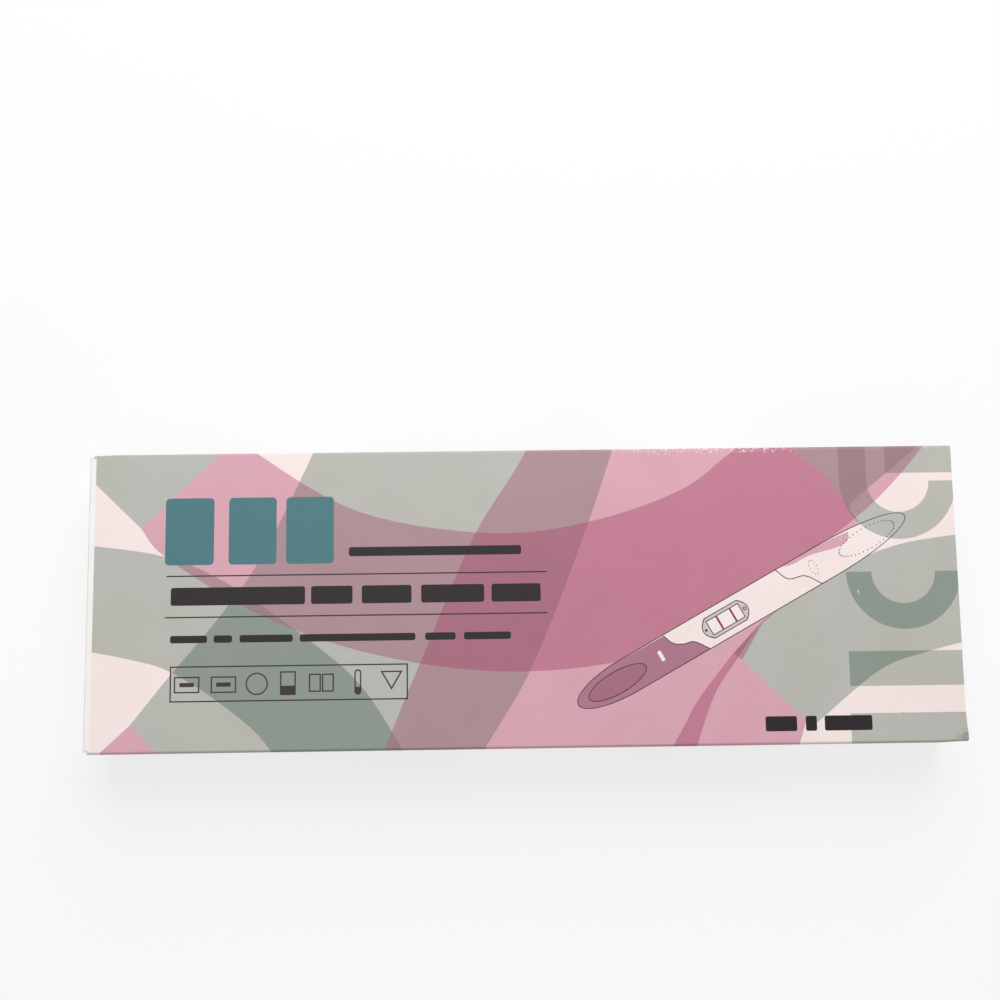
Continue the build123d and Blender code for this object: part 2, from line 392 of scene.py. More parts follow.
def blankOutline():
    # The whole blank, anticlockwise from the near side panel's raw edge
    glueEnd = sideEnd - carton["glueSetback"]
    lean = (glueRise - carton["board"]) * tan(radians(carton["glueTaper"]))
    ends = girth[8] + carton["board"]
    corners = [
        (-sideEnd, girth[0], 0), (sideEnd, girth[0], 0), *dustFlap(1, nearV)[::-1],
        (sideEnd, girth[1], 0), (half, girth[1], 0), (half, girth[4], 0), (sideEnd, girth[4], 0),
        *dustFlap(1, farV),
        (sideEnd, girth[5], 0), (creaseEnd, girth[5], 0), (creaseEnd, girth[8], 0),
        (sideEnd, girth[8], 0), (sideEnd, ends, 0), (glueEnd, ends, 0), (glueEnd - lean, girth[9], 0),
        (lean - glueEnd, girth[9], 0), (-glueEnd, ends, 0), (-sideEnd, ends, 0),
        (-sideEnd, girth[8], 0), (-half, girth[8], 0), (-half, girth[5], 0), (-sideEnd, girth[5], 0),
        *dustFlap(-1, farV),
        (-sideEnd, girth[4], 0), (-creaseEnd, girth[4], 0), (-creaseEnd, girth[1], 0),
        (-sideEnd, girth[1], 0),
        *dustFlap(-1, nearV)[::-1],
    ]
    return rounded(corners)


# Print. A band or a block is one of two see-through inks, and what lies over it darkens it, as
# overprinting does. A bare shape knocks out what is under it, and a solid colour hides it
inks = {
    "overprint": [  # by the number of pink and of sage layers
        ["F7E6E3", "B8B8B1", "8A958A"],
        ["D9A4B2", "AB8A91", "9A7980"],
        ["C17990", "A7697C", "925D6D"],
    ],
    "teal": "45777F", "dark": "1C1216", "line": "33282D", "grip": "AC7389",
    "gripOval": "A4687F", "window": "CFC4C3", "glass": "F6EAEA", "red": "8E2A42", "board": "FCF9F7",
}


def printedShapes():
    # The front panel's bands, in the order they are laid down, as (ink, outline) pairs. They run
    # on over the long folds on to the side panels
    topLeft = curve([(-51, 50), (-62.4, 36.8), (-66.8, 32), (-83.6, 16.1)], 3)
    rightRim = curve([
        (46, 50), (59.8, 32.2), (66.4, 26.2), (71.8, 18.5), (73.6, 13.8), (66, 6), (56, -2.7), (51.6, -6.5),
    ])
    smileLow = curve([
        (-83.6, 16.1), (-78.2, 9.8), (-59.6, -2), (-40.1, -9.9), (-18, -14.8), (3.1, -16), (24.8, -13.3),
        (40, -7.6), (57, 4.6), (71.2, 15), (79.7, 22.2), (89, 32.4), (103, 50),
    ])
    smileTop = curve([
        (62, 43), (46.4, 31.6), (34.6, 23.1), (14.6, 16.4), (-7.4, 14.1), (-35.8, 19.1), (-58, 32.1),
        (-62.2, 36.6),
    ])
    archTop = curve([
        (-96, 12.7), (-78.2, 9.8), (-64.7, 3.9), (-49.2, -6.9), (-36.5, -17.6), (-27.2, -31.5), (-17, -51),
    ])
    archLow = curve([(-44, -51), (-55, -32), (-65, -22.6), (-76.7, -15.1), (-85.3, -12.4), (-96, -10.2)])
    wideLeft = curve([(-39, 51), (-46.1, 32.4), (-57.6, 8.9), (-67, -4.4), (-77.1, -16.4), (-85, -26.3)])
    wideRight = curve([(-20, -51), (-9, -32.3), (0.9, -16), (11.1, 8), (19.9, 32.3), (25, 51)])
    pinkLeft = curve([(8, 51), (0.6, 32), (-10.6, 14), (-20.7, -9), (-30.5, -32.3), (-37, -51)])
    leafTop = curve([(45.2, -12.7), (51.3, -6.3), (56.1, -2.9), (69.9, 5.7), (82.7, 10.6), (98, 12.9)])
    leafLow = curve([(98, -10.4), (87.7, -12.9), (76.8, -16.8), (62, -28.4)])
    crescentLeft = curve([(51.1, -6.6), (46.3, -13.4), (39.9, -23.4), (33, -44), (32, -51)])
    crescentRight = curve([(20, -51), (26, -41), (32.9, -29.9), (37.5, -22.1), (45.2, -12.6)])
    leafTip = [(60.3, -27.5), (46.9, -14.2)]
    pinkEnd = [(56, -51), (57.5, -37), (58.6, -32.6), *leafTip]
    aboveBend = rightRim[:22]  # the part of the rim before its sharp turn
    return [
        ("sage", np.vstack([[(-98, 30.2), (-98, 51)], topLeft])),
        ("pink", np.vstack([topLeft[3:-1], smileLow, [(103, 52), (66, 52)], smileTop])),
        ("sage", np.vstack([archTop, archLow])),
        ("sage", np.vstack([wideLeft, [(-79.6, -32.2), (-66, -51)], wideRight])),
        ("pink", np.vstack([pinkLeft, pinkEnd, rightRim[::-1]])),
        ("pink", np.vstack([crescentLeft, crescentRight])),
        ("sage", np.vstack([leafTop, leafLow, leafTip])),
        ("sage", np.vstack([aboveBend, [(72.4, 20), (86.6, 31.4), (106, 51)]])),
        ("pink", np.array([(-91.9, -32.6), (-85, -26.3), (-79.6, -32.2), (-66, -51), (-110, -51)])),
    ]


# The pictured test stick, in millimetres along its own middle line from the grip's end
stick = {"length": 83.4, "halfWidth": 3.95, "pen": 0.2, "tilt": 28.96, "gripEnd": (11.1, -23.4)}


def stickShapes():
    # Drawn along its own middle line, then turned and moved to its place on the panel
    length, halfWidth, pen = stick["length"], stick["halfWidth"], stick["pen"]

    def body(inset):
        w = halfWidth - inset
        tip = oval(63.5, 0, length - 63.5 - inset, w, 24, -90, 90)
        butt = oval(13, 0, 13 - inset, w, 24, 90, 270)
        return np.vstack([tip, butt])

    def barrel(x, w):
        # The window's frame: straight sides, and ends bowed as 1 - 0.28 t^2 across it
        t = np.linspace(-1, 1, 9)
        end = np.stack([(37.2 - x) * (1 - 0.28 * t ** 2), w * t], 1)
        return np.vstack([end, -end]) + (37.2, 0)

    capEdge = halfWidth - pen
    capBand = curve([(53.6, capEdge), (56.0, 3.0), (60.7, 2.75), (66.4, 1.4), (69.3, 1.45), (70.6, 3.1)])
    gripCurve = curve([(23.6, 3.6), (24.6, 1.2), (26.6, -0.1), (28.8, -0.8), (31.0, -3.75)])
    capCurve = curve([(52.2, 3.8), (53.7, 0.7), (57.2, -0.5), (59.6, -3.8)])
    butt = oval(13, 0, 13 - pen, halfWidth - pen, 24, 92, 268)
    shapes = [
        ("line", body(0)), ("bare", body(pen)),
        ("pink", np.vstack([capBand, [(66, 3.6), (63.5, capEdge)]])),
        ("grip", np.vstack([gripCurve, butt[::-1]])), ("line", stroke(gripCurve, pen)),
        ("line", oval(9.9, -0.1, 7.2, 2.45)), ("gripOval", oval(9.9, -0.1, 7.2 - pen, 2.45 - pen)),
        ("glass", box(20.6, -1.1, 21.4, 1.3, 0.25)),
        ("line", barrel(31.5, 2.5)), ("window", barrel(31.5 + pen, 2.5 - pen)),
        ("line", box(33.1, -1.75, 41.3, 1.75)),
        ("glass", box(33.1 + pen, -1.75 + pen, 41.3 - pen, 1.75 - pen)),
        ("red", box(35.5, -1.65, 35.95, 1.65)), ("red", box(38.9, -1.65, 39.35, 1.65)),
        ("line", oval(42.0, 0.0, 0.45, 0.45, 12)), ("window", oval(42.0, 0.0, 0.25, 0.25, 12)),
        ("line", oval(32.3, 0.0, 0.3, 0.3, 12)),
        ("line", stroke(capCurve, pen)),
    ]
    shapes += [("line", oval(x, y, 0.15, 0.15, 6)) for x, y in oval(73.3, -0.2, 7.0, 2.3, 40)]
    shapes += [("line", oval(x, y, 0.12, 0.12, 6)) for x, y in oval(59.8, 0.2, 0.8, 1.7, 12)]
    tilt = radians(stick["tilt"])
    turn = np.array([[cos(tilt), sin(tilt)], [-sin(tilt), cos(tilt)]])
    return [(ink, outline @ turn + stick["gripEnd"]) for ink, outline in shapes]


# Plain bars and tiles, in millimetres: the bottom and top of a row, its corners' radius, and
# the left and right ends of its blocks
printRows = [
    ("teal", 7.9, 22.6, 0.9, [(-78.2, -67.6), (-64.4, -54.0), (-51.9, -41.5)]),
    ("dark", 9.4, 11.4, 0.5, [(-38.2, -0.6)]),
    ("dark", -0.9, 3.0, 0.5, [(-76.8, -47.7), (-46.4, -37.4), (-35.4, -24.6), (-22.5, -8.8), (-7.2, 3.5)]),
    ("dark", -9.0, -7.4, 0.5, [
        (-76.8, -68.8), (-67.4, -63.4), (-61.8, -50.3), (-48.8, -23.8), (-21.7, -15.1), (-13.3, -3.1),
    ]),
    ("line", 5.35, 5.65, 0.0, [(-77.8, 5.0)]),
    ("line", -3.6, -3.3, 0.0, [(-78, 4.9)]),
    ("dark", -29.6, -26.4, 0.4, [(51.5, 58.3), (60.2, 62.6), (64.3, 74.6)]),
]


def ornamentShapes():
    # Half rings and blocks at the right end, and the rows of bars and tiles

    def halfRing(x, y, outer, inner):
        return oval(x, y, outer, outer, 32, 180, 360), oval(x, y, inner, inner, 24, 180, 360)[::-1]

    shapes = [
        ("sage", np.vstack([[(69.9, 40)], *halfRing(82.8, 24.6, 12.9, 6.9), [(75.9, 40)]])),
        ("sage", np.vstack(halfRing(83.0, 4.6, 12.6, 7.0))),
        ("sage", box(80.2, 26.4, 99, 40)),
        ("sage", box(70.2, -20.2, 99, -12.7)),
        ("sage", box(70.0, -37, 99, -26.0)),
    ]
    for ink, low, high, corner, blocks in printRows:
        shapes += [(ink, box(left, low, right, high, corner)) for left, right in blocks]
    return shapes


def outlinedShapes():
    # The framed row: plain shapes drawn in pen line, each as (outer, inner) outlines, and their
    # solid parts
    pen = 0.3

    def framed(x0, y0, x1, y1, r=0.0):
        return box(x0, y0, x1, y1, r), box(x0 + pen, y0 + pen, x1 - pen, y1 - pen, max(r - pen, 0))

    triangle = [(-31.4, -15.5), (-29.0, -19.6), (-26.6, -15.5)]
    insideIt = [(-30.85, -15.8), (-29.0, -18.95), (-27.15, -15.8)]
    pairs = [
        framed(-76.7, -21.65, -25.45, -13.95),
        framed(-75.8, -19.7, -70.3, -16.2), framed(-67.9, -19.75, -62.4, -16.2),
        (oval(-58.0, -17.9, 2.4, 2.4), oval(-58.0, -17.9, 2.4 - pen, 2.4 - pen)),
        framed(-53.0, -20.4, -49.6, -15.3),
        framed(-46.8, -19.8, -44.2, -15.9), framed(-44.0, -19.8, -41.4, -15.9),
        framed(-37.0, -20.5, -35.5, -15.1, 0.7),
        (np.array(triangle), np.array(insideIt)),
    ]
    solids = [
        box(-74.6, -18.4, -71.5, -17.5), box(-66.7, -18.4, -63.6, -17.5), box(-52.7, -20.1, -49.9, -18.4),
        oval(-36.25, -19.5, 0.75, 0.75, 20),
    ]
    return pairs, solids


def inkCarton(cover, kinds):
    # Colour of each triangle: the shapes that cover it are laid down one after another
    layers = np.zeros((len(cover), 2), int)
    table = np.array([[toLinear(c)[:3] for c in row] for row in inks["overprint"]])
    solid = np.full((len(cover), 3), -1.0)
    for i, kind in enumerate(kinds):
        on = cover[:, i]
        if isinstance(kind, tuple):
            on = on & ~cover[:, kind[1]]
            kind = kind[0]
        if kind in ("pink", "sage"):
            layers[on, ("pink", "sage").index(kind)] += 1
        elif kind == "bare":
            layers[on] = 0
            solid[on] = -1
        elif kind != "inner":
            solid[on] = toLinear(inks[kind])[:3]
    layers = np.minimum(layers, 2)
    colour = table[layers[:, 0], layers[:, 1]]
    return np.where(solid < 0, colour, solid)


def bakeMap(mesh, flat, triangles):
    # The piece's own map: the outer side large, the inner side small above it, and the raw
    # edges as rows of narrow cells beside that
    low, high = flat.min(0), flat.max(0)
    edge, gap, perRow, smallest = 0.01, 0.02, 200, 0.32
    scale = (1 - 2 * edge) / carton["mapWidth"]
    outer = (flat - low) * scale + edge
    tall = (high[1] - low[1]) * scale
    top = tall + edge + gap
    small = scale * min(smallest, (1 - gap - top) / tall)
    inner = (flat - low) * small + (edge, top)
    left = (high[0] - low[0]) * small + 2 * edge + gap
    count = (len(mesh.loops) - 2 * triangles.size) // 4
    row, column = np.arange(count) // perRow, np.arange(count) % perRow
    cell = (1 - gap - left) / perRow
    step = (1 - gap - top) / (row.max() + 1)
    first = np.stack([left + column * cell, top + row * step], 1)
    square = np.array([(0, 0), (0.7, 0), (0.7, 0.6), (0, 0.6)]) * (cell, step)
    cells = (first[:, None] + square).reshape(-1, 2)
    uv = np.vstack([outer[triangles.ravel()], inner[triangles[:, ::-1].ravel()], cells])
    layer = mesh.uv_layers.new(name="OFBake")
    layer.uv.foreach_set("vector", uv.astype(np.float32).ravel())


def printLayers():
    # All printed shapes and their inks, in the order they are laid down. A pen line's ring is
    # (ink, number of the shape inside it), and bare board comes last
    shapes, kinds = [], []
    for kind, outline in (*printedShapes(), *stickShapes(), *ornamentShapes()):
        shapes.append(outline)
        kinds.append(kind)
    pairs, solids = outlinedShapes()
    for outerRing, innerRing in pairs:
        kinds += [("line", len(shapes) + 1), "inner"]
        shapes += [outerRing, innerRing]
    past = half + 20  # well past the blank's ends
    unprinted = [
        box(-past, -60, -carton["printEdge"], 60), box(-past, girth[5] - carton["bleed"], past, girth[9] + 2),
        box(sideEnd, -girth[4] - carton["dustPrint"], past, girth[1]), box(sideEnd, girth[4], past, girth[5]),
    ]
    kinds += ["line"] * len(solids) + ["board"] * len(unprinted)
    return shapes + solids + unprinted, kinds


def cartonGrid():
    # Lines along every fold and the dust flaps' bends, and a grid of points on the panels that is
    # closer at the two knocked corners
    columns = np.linspace(-sideEnd, sideEnd, int(2 * sideEnd / carton["gridStep"]) + 1)
    steps = np.linspace(0, 1, carton["foldSteps"] + 1)
    reach = np.concatenate([[-half], columns, [half]])
    lines = []
    for first in (1, 3, 5, 7):
        lines += [np.stack([reach, np.full(len(reach), v)], 1) for v in girth[first] + steps * bend]
    for way in (-1, 1):
        for low, high in ((girth[0], girth[1]), (girth[4], girth[5])):
            rows = np.linspace(low, high, 5)
            lines += [np.stack([np.full(len(rows), u), rows], 1) for u in way * (sideEnd + steps * bend)]
    rows = []
    for i in (0, 2, 4, 6, 8):
        count = max(3, int((girth[i + 1] - girth[i]) / carton["gridStep"]) + 1)
        rows += list(np.linspace(girth[i], girth[i + 1], count)[1:-1])
    grid = np.stack(np.meshgrid(columns, rows), -1).reshape(-1, 2)
    near = np.stack(np.meshgrid(np.linspace(-3.4, 0.9, 9), np.linspace(-4, -0.6, 8)), -1).reshape(-1, 2)
    return lines, np.vstack([grid, near + (94, -28.1), (-93.5, 27.9) - near])


def makeCarton(materials):
    # The sleeve with its print, from one flat blank
    shapes, kinds = printLayers()
    flat, triangles, cover = triangulate(blankOutline(), shapes, *cartonGrid())
    piece = makeSheet("cartonSleeve", flat, triangles, foldCarton, carton["board"], materials)
    colours = np.zeros((len(piece.data.loops), 4), np.float32)
    colours[:, 3] = 1
    colours[:triangles.size, :3] = np.repeat(inkCarton(cover, kinds), 3, axis=0)
    ink = piece.data.color_attributes.new("ink", "FLOAT_COLOR", "CORNER")
    ink.data.foreach_set("color", colours.ravel())
    bakeMap(piece.data, flat, triangles)
    print("carton sleeve:", len(triangles), "triangles a side,", len(shapes), "printed shapes")
    return piece


# Tuck flaps, in millimetres. The outline's first coordinate runs across the box and its second
# down the lid and along the tongue
tuck = {
    "halfWidth": 32.0, "tongueHalf": 30.0, "tongueMid": 16.8, "tongueAngle": 40.93, "bow": 0.12,
    "slitReach": 5.0, "slitWidth": 0.25, "lidCorner": 0.4, "shoulder": 0.3, "corner": 6.0,
    "bead": 0.38, "hingeX": 94.6, "hingeDrop": 0.4,
}


def hinge(end):
    # Place (x, z) of a hinge line: the left one in the front panel, the right one in the back
    return end * tuck["hingeX"], carton["depth"] - tuck["hingeDrop"] if end < 0 else tuck["hingeDrop"]


def tuckRuns():
    # The lid runs down, the fold turns it in, and the tongue is an arc about the hinge line
    x = r - carton["board"] / 2
    drop = sqrt((tuck["tongueMid"] - r) ** 2 - x ** 2)
    turn = asin(x / (tuck["tongueMid"] - r))
    fold = r * (pi / 2 + turn)
    arc = tuck["tongueMid"] * (radians(tuck["tongueAngle"]) - turn)
    return [(drop, 0), (fold, 90 + turn * 180 / pi), (arc, tuck["tongueAngle"] - turn * 180 / pi)]


def makeTuckFlap(name, end, materials):
    runs = tuckRuns()
    lidEnd = runs[0][0]
    tip = sum(span for span, _ in runs)
    w, t = tuck["halfWidth"], tuck["tongueHalf"]
    cut, slitTop = t - tuck["slitReach"], lidEnd - tuck["slitWidth"]
    rightHalf = [
        (w, 0, 0), (w, slitTop, tuck["lidCorner"]), (cut, slitTop, 0), (cut, lidEnd, 0),
        (t, lidEnd, tuck["shoulder"]), (t, tip, tuck["corner"]),
    ]
    outline = rounded(rightHalf + [(-y, s, c) for y, s, c in rightHalf[::-1]], 10)
    columns = np.linspace(-w, w, 17)
    onFold = lidEnd + np.linspace(0, runs[1][0], 7)
    onTongue = np.linspace(lidEnd + runs[1][0], tip, 11)[1:-1]
    lines = [np.stack([columns, np.full(len(columns), s)], 1) for s in (*onFold, *onTongue)]
    grid = np.stack(np.meshgrid(columns[1:-1], np.linspace(1.5, lidEnd - 1.5, 5)), -1).reshape(-1, 2)

    def place(flat, offset):
        # Along the path for the left flap, turned half round about y for the right one. The lid
        # is bowed as (1 - (y / 31)^2) sin(pi s) on its way s from 0 to 1
        y, s = flat.T
        p, n = alongPath(s, (-carton["board"] / 2, 0), -90, runs)
        bow = np.clip(1 - (y / 31) ** 2, 0, 1) * np.clip(np.sin(np.clip(s / lidEnd, 0, 1) * pi), 0, 1)
        p = hinge(end) - end * (p - n * (offset + tuck["bow"] * bow)[:, None])
        return np.column_stack([p[:, 0], y, p[:, 1]])

    flat, triangles, _ = triangulate(outline, [], lines, grid)
    return makeSheet(name, flat, triangles, place, carton["board"], materials)


def makeBead(name, end, material):
    # The bead of a tuck flap's fold, on its hinge line
    points, sides, caps = rod(*hinge(end), tuck["halfWidth"], tuck["bead"])
    normals = np.vstack([rodNormals(points, sides), flatNormals(points, caps)])
    return buildMesh(name, points, [(sides, 0), (caps, 0)], [material], normals)


# The board's skin over a tuck flap's fold, in millimetres
foldSkin = {"halfWidth": 31.6, "thickness": 0.03, "onPanel": 1.0, "onLid": 0.8, "lift": 0.02}


def makeCrease(name, end, materials):
    # Out along the panel, a quarter turn round the hinge line, and down the lid
    w, reach = foldSkin["halfWidth"], foldSkin["onPanel"]
    radius = carton["board"] + foldSkin["lift"]
    runs = [(reach, 0), (radius * pi / 2, 90), (foldSkin["onLid"], 0)]
    outline = box(-w, 0, w, sum(span for span, _ in runs))
    columns = np.linspace(-w, w, 13)
    turning = reach + np.linspace(0, runs[1][0], 9)
    lines = [np.stack([columns, np.full(len(columns), s)], 1) for s in turning]

    def place(flat, offset):
        y, s = flat.T
        p, n = alongPath(s, (reach, radius), 180, runs)
        p = hinge(end) - end * (p - n * offset)
        return np.column_stack([p[:, 0], y, p[:, 1]])

    flat, triangles, _ = triangulate(outline, [], lines, np.array([[0.0, reach / 2]]))
    return makeSheet(name, flat, triangles, place, foldSkin["thickness"], materials)


# Sealed foil pouch, in millimetres about the middle of its underside
pouch = {
    "length": 169.56, "halfWidth": 29.0, "corner": 1.5, "centreX": 2.82, "base": 1.6, "underside": 0.01,
    "film": 0.3, "rise": 8.6, "crown": 0.05,
    "stickHalf": 10.5, "sideRun": 9.0, "stickReach": 68.8, "endRun": 7.0,
    "seal": 9.0, "ribPitch": 1.0, "ribBand": 3.4, "ribHeight": 0.12, "ribMargin": 1.5,
    "notchDepth": 1.6, "notchWidth": 1.8, "wrinkles": 26, "wrinkleHalf": 0.8, "seed": 7,
}


def eased(t):
    # 3 t^2 - 2 t^3, held at 0 and 1
    t = np.clip(t, 0, 1)
    return t ** 2 * (3 - 2 * t)


def pouchTop(flat):
    # Film height: a tent with eased slopes over the stick, ribs across both seals, and fine
    # straight wrinkles, each a Gaussian ridge about a line, on the loose film round the stick
    x, y = flat.T
    tent = eased((pouch["stickHalf"] + pouch["sideRun"] - abs(y)) / pouch["sideRun"])
    tent *= eased((pouch["stickReach"] + pouch["endRun"] - abs(x)) / pouch["endRun"])
    crown = 1 - pouch["crown"] * (y / pouch["stickHalf"]) ** 2 * (abs(y) < pouch["stickHalf"])
    height = pouch["film"] + pouch["rise"] * tent * crown
    sealMiddle = (pouch["length"] - pouch["seal"]) / 2
    d = abs(x) - sealMiddle
    inSeal = (abs(d) < pouch["ribBand"]) & (abs(y) < pouch["halfWidth"] - pouch["ribMargin"])
    ribs = pouch["ribHeight"] * np.clip(np.cos(2 * pi * d / pouch["ribPitch"]), 0, 1)
    height += np.where(inSeal, ribs, 0)
    loose = np.clip((sealMiddle - 4.8 - abs(x)) / 3, 0, 1)
    loose *= np.clip((pouch["halfWidth"] - 3 - abs(y)) / 3, 0, 1)
    random = np.random.default_rng(pouch["seed"])
    for _ in range(pouch["wrinkles"]):
        x0, y0 = random.uniform(-80, 80), random.uniform(-24, 24)
        angle = random.uniform(-0.5, 0.5) + (pi / 2 if abs(x0) < 60 else 0)
        across = (x - x0) * -sin(angle) + (y - y0) * cos(angle)
        along = (x - x0) * cos(angle) + (y - y0) * sin(angle)
        ridge = np.exp(-(across / pouch["wrinkleHalf"]) ** 2) * np.exp(-(along / random.uniform(5, 12)) ** 2)
        height += random.uniform(0.1, 0.3) * ridge * loose * (1 - tent)
    return height


def makePouch(materials):
    reach, w = pouch["length"] / 2, pouch["halfWidth"]
    sealMiddle = reach - pouch["seal"] / 2
    notch, deep, c = pouch["notchWidth"] / 2, pouch["notchDepth"], pouch["corner"]
    outline = rounded([
        (-reach, -w, c), (sealMiddle - notch, -w, 0), (sealMiddle, deep - w, 0), (sealMiddle + notch, -w, 0),
        (reach, -w, c), (reach, w, c), (sealMiddle + notch, w, 0), (sealMiddle, w - deep, 0),
        (sealMiddle - notch, w, 0), (-reach, w, c),
    ])
    fine = np.arange(-3.375, 3.5, 0.125) + sealMiddle  # eight columns to a rib of the seal
    columns = np.concatenate([-fine[::-1], np.linspace(4 - sealMiddle, sealMiddle - 4, 150), fine])
    rows = np.linspace(-w + 0.4, w - 0.4, 57)
    middle = np.stack(np.meshgrid(columns, rows), -1).reshape(-1, 2)

    def place(flat, offset):
        # The shaped film above and a flat one below
        height = pouchTop(flat) if offset > 0 else np.full(len(flat), pouch["underside"])
        return np.column_stack([flat[:, 0] + pouch["centreX"], flat[:, 1], height + pouch["base"]])

    flat, triangles, _ = triangulate(outline, [], [], middle)
    print("foil pouch:", len(triangles), "triangles a side")
    return makeSheet("foilPouch", flat, triangles, place, pouch["film"], materials)


# Folded leaflet, in millimetres
leaflet = {
    "start": -81.96, "end": 78.6, "halfWidth": 28.0, "layers": 4, "pitch": 0.36, "paper": 0.12, "fold": 0.15,
    "clear": 0.02,  # over the back panel
}


def makeLeaflet(materials):
    # One sheet folded to and fro: straight layers joined by two quarter turns, left and right by turns
    runs = []
    w, fold = leaflet["halfWidth"], leaflet["fold"]
    for layer in range(leaflet["layers"]):
        ends = (layer > 0) + (layer < leaflet["layers"] - 1)
        runs.append((2 * w - ends * fold, 0))
        if layer < leaflet["layers"] - 1:
            quarter = (fold * pi / 2, 90 if layer % 2 == 0 else -90)
            runs += [quarter, (leaflet["pitch"] - 2 * fold, 0), quarter]
    marks = np.concatenate([[0], np.cumsum([span for span, _ in runs])])
    outline = box(leaflet["start"], 0, leaflet["end"], marks[-1])
    columns = np.linspace(leaflet["start"], leaflet["end"], 25)
    folds = np.concatenate([np.linspace(marks[i], marks[i + 3], 9) for i in range(1, len(runs) - 1, 4)])
    lines = [np.stack([columns, np.full(len(columns), s)], 1) for s in folds]
    rows = np.concatenate([np.linspace(marks[i], marks[i + 1], 8)[1:-1] for i in range(0, len(runs), 4)])
    grid = np.stack(np.meshgrid(columns[1:-1], rows), -1).reshape(-1, 2)

    def place(flat, offset):
        x, s = flat.T
        p, n = alongPath(s, (-w, carton["board"] + leaflet["paper"] / 2 + leaflet["clear"]), 0, runs)
        return np.column_stack([x, p + n * offset])

    flat, triangles, _ = triangulate(outline, [], lines, grid)
    return makeSheet("instructionLeaflet", flat, triangles, place, leaflet["paper"], materials)


